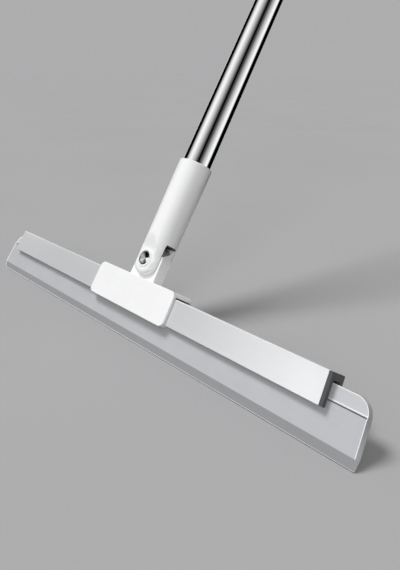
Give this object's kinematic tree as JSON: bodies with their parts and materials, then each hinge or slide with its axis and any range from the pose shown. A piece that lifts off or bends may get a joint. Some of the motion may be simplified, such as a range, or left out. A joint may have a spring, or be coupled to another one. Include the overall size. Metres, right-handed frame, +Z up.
{
  "type": "floor squeegee",
  "caption": "Floor squeegee: silicone blade in a white rail, clamp with a friction pivot and a three-piece chromed pole, leaning back with its lip on the floor.",
  "frame": {"origin": "middle of the line where the blade's lip meets the floor", "axes": "+X along the blade to the right as seen from the front, +Y towards the rear, the way the pole leans, +Z up"},
  "size_m": [0.452, 0.6914, 1.0557],
  "materials": {
    "silicone": "matte",
    "rail_white": "satin",
    "white_plastic": "glossy",
    "dark_plastic": "matte",
    "pale_plastic": "satin",
    "steel": "spun",
    "chrome_tube": "mirror"
  },
  "bodies": {
    "head": {"blade": "silicone", "rail": "rail_white", "end_cap_left": "dark_plastic", "end_cap_right": "dark_plastic", "clamp": "white_plastic", "clamp_screws": "steel", "pivot_bush": "pale_plastic"},
    "pole": {"socket": "white_plastic", "pivot_bolt": "steel", "friction_washer_front": "dark_plastic", "friction_washer_rear": "dark_plastic", "spring_washer": "steel", "pivot_nut": "steel", "socket_screw": "steel", "lower_tube": "chrome_tube", "lower_joint_sleeve": "pale_plastic", "lower_joint_plug": "pale_plastic", "middle_tube": "chrome_tube", "upper_joint_sleeve": "pale_plastic", "upper_joint_plug": "pale_plastic", "upper_tube": "chrome_tube", "hanging_cap": "white_plastic"}
  },
  "joints": [
    {"name": "pole_swing", "type": "hinge", "parent": "head", "child": "pole", "pos_m": [0, 0.03724, 0.05863], "axis": [0, 0.8387, -0.5446], "range_deg": [-90, 90]}
  ]
}
